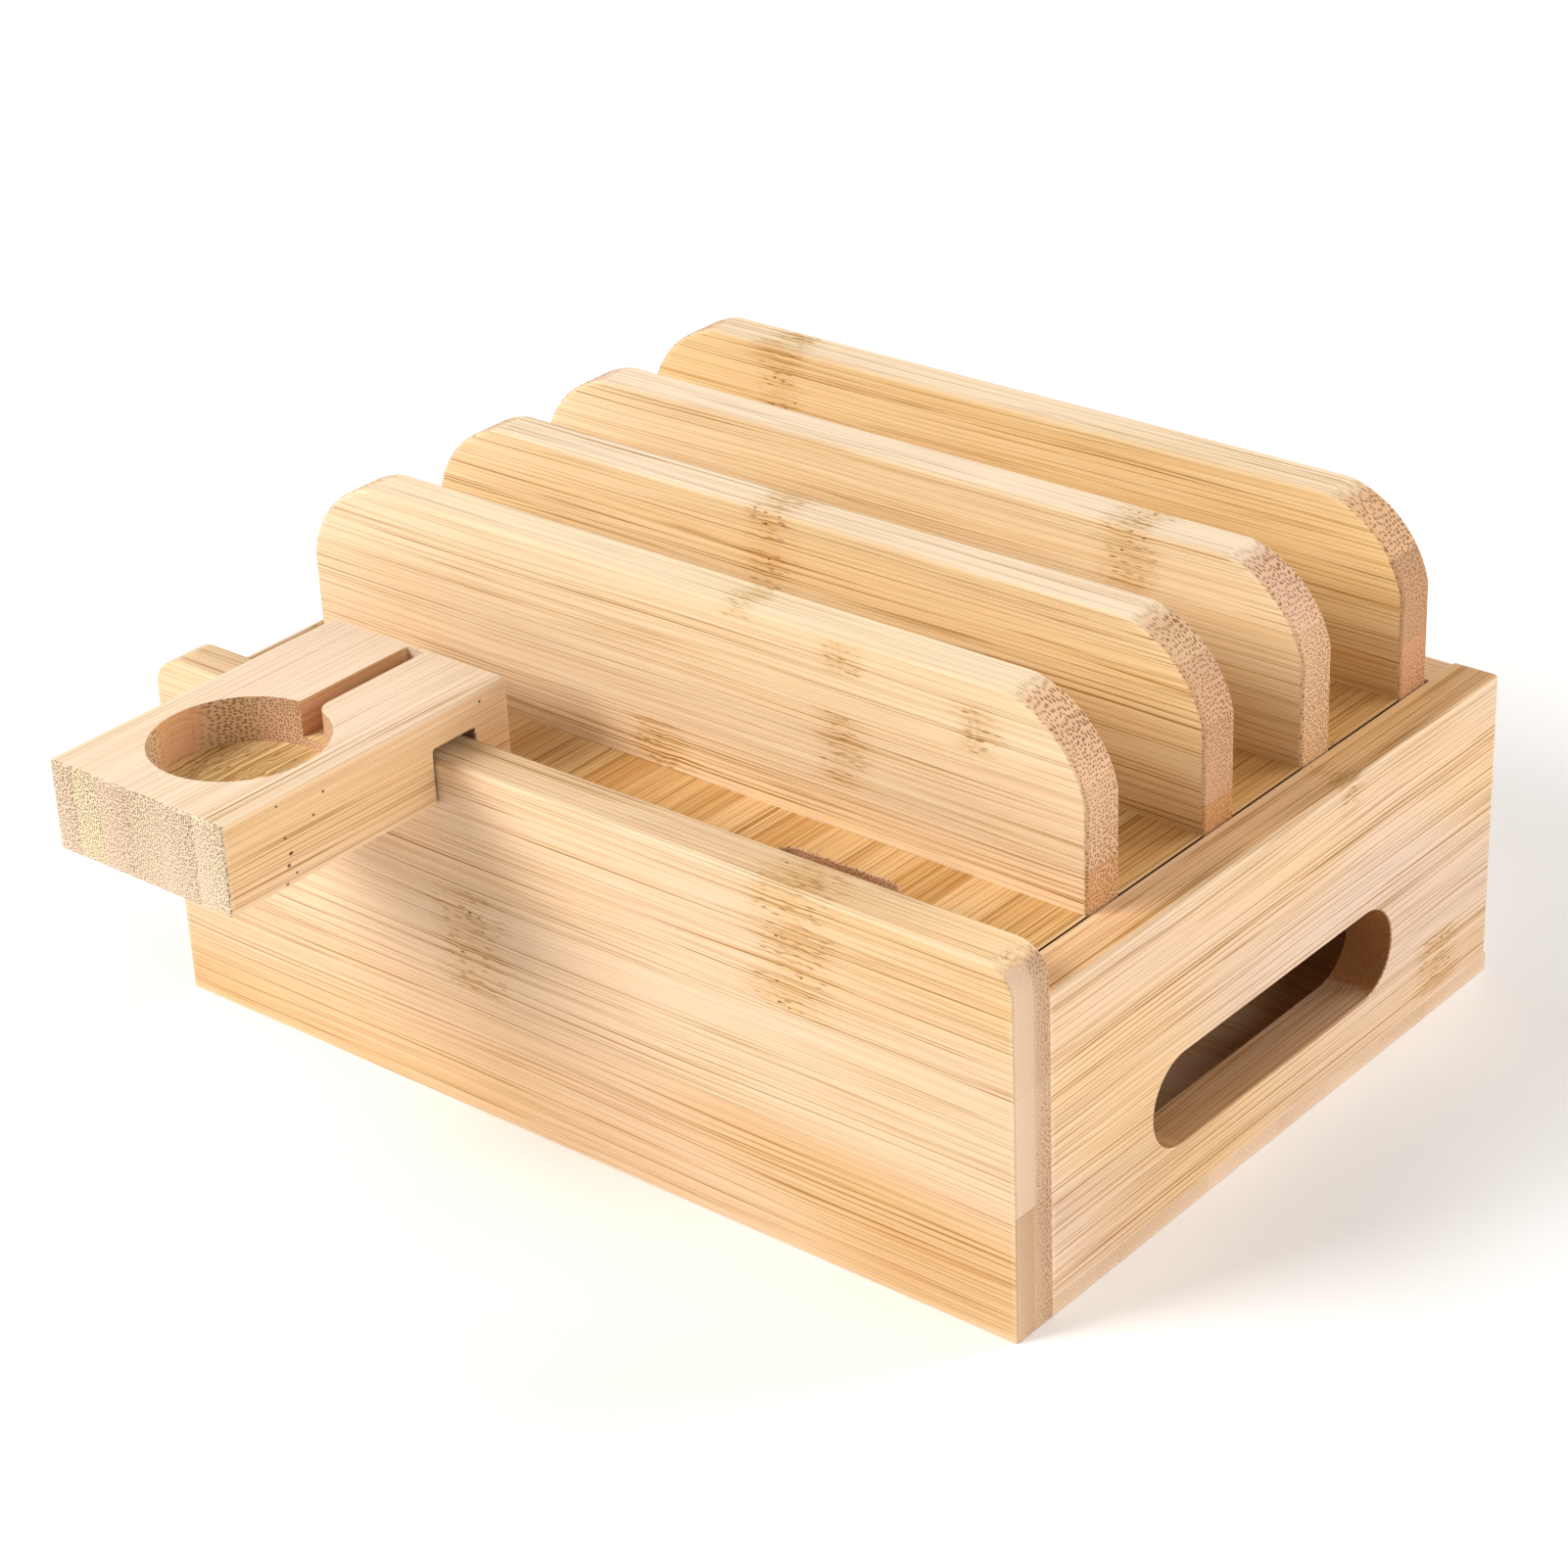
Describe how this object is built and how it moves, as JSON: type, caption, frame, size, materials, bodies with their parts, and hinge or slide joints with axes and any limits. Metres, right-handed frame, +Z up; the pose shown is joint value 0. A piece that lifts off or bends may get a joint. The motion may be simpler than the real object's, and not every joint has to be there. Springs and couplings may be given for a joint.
{
  "type": "charging station organizer",
  "caption": "Desktop bamboo charging box with a lift-out slotted deck, upright rounded dividers for devices and a hook-on watch stand with a puck recess.",
  "frame": {"origin": "middle of the box's base, on the surface it stands on; the watch stand's overhang isn't counted", "axes": "+X to the right seen from the front, +Y to the back, +Z up"},
  "size_m": [0.185, 0.1865, 0.0925],
  "materials": {
    "bamboo": "fine-sanded natural bamboo, satin",
    "bamboo_lid_deck": "fine-sanded natural bamboo, satin",
    "bamboo_watch_stand": "fine-sanded natural bamboo, satin",
    "dowel_wood": "plain hardwood dowel",
    "screw_steel": "zinc-plated"
  },
  "bodies": {
    "box": {"front_panel": "bamboo", "back_panel": "bamboo", "side_panel_left": "bamboo", "side_panel_right": "bamboo", "bottom_panel": "bamboo", "cleat_left": "bamboo", "cleat_right": "bamboo", "corner_dowels": "dowel_wood", "bottom_screws": "screw_steel", "cleat_screws": "screw_steel"},
    "lid": {"lid_deck": "bamboo_lid_deck", "divider_1": "bamboo", "divider_2": "bamboo", "divider_3": "bamboo", "divider_4": "bamboo", "divider_screws": "screw_steel"},
    "watch_stand": {"watch_stand": "bamboo_watch_stand"}
  },
  "joints": [
    {"name": "lid_lift", "type": "slide", "parent": "box", "child": "lid", "axis": [0, 0, 1], "range_m": [0, 0.06]},
    {"name": "stand_slide", "type": "slide", "parent": "lid", "child": "watch_stand", "axis": [1, 0, 0], "range_m": [-0.022, 0.111]}
  ]
}
